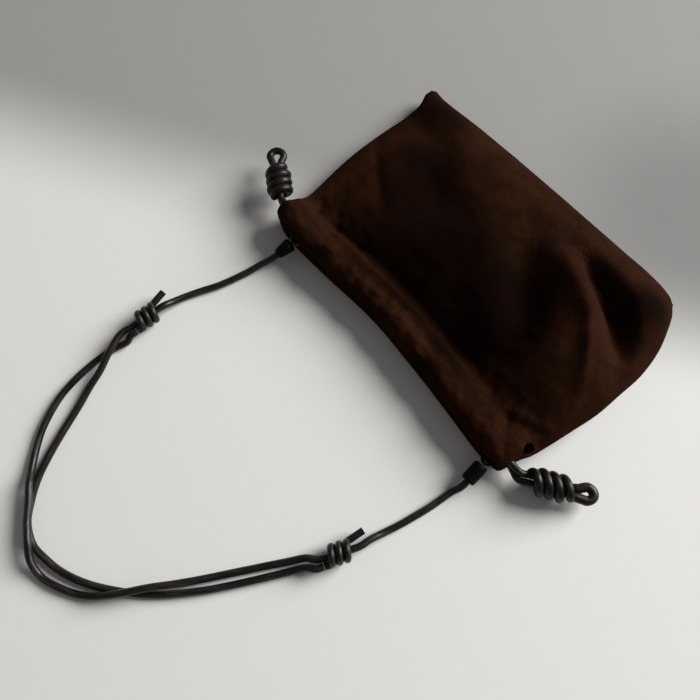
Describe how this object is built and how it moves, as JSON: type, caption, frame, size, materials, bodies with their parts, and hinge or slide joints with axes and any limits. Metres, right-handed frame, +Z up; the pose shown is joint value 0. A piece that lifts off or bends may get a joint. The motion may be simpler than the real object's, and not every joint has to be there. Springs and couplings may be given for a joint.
{
  "type": "suede drawstring shoulder bag",
  "caption": "Soft suede pouch bag with a drawcord through its hemmed mouth, coil knots at the cord's ends, and a strap of leather cords joined by sliding knots.",
  "frame": {"origin": "middle of the back panel, on the table that the bag lies on", "axes": "+X along the width of the bag, +Y from the mouth to the base, +Z up from the back panel to the front panel"},
  "size_m": [0.344, 0.4502, 0.0485],
  "materials": {
    "suede": "dark brown napped suede, matte",
    "drawcord_leather": "dark brown smooth leather cord, satin",
    "cord_leather": "near-black round leather cord, satin",
    "ring_metal": "dark metal ring, glossy"
  },
  "bodies": {
    "root": {"pouch": "suede", "drawcord": "drawcord_leather", "coil_knot_left": "drawcord_leather", "coil_knot_right": "drawcord_leather", "strap_tab_left": "suede", "strap_ring_left": "ring_metal", "strap_sleeve_left": "cord_leather", "strap_cord_left": "cord_leather", "strap_tab_right": "suede", "strap_ring_right": "ring_metal", "strap_sleeve_right": "cord_leather", "strap_cord_right": "cord_leather", "strap_knot_left": "cord_leather", "strap_knot_right": "cord_leather"}
  },
  "joints": []
}
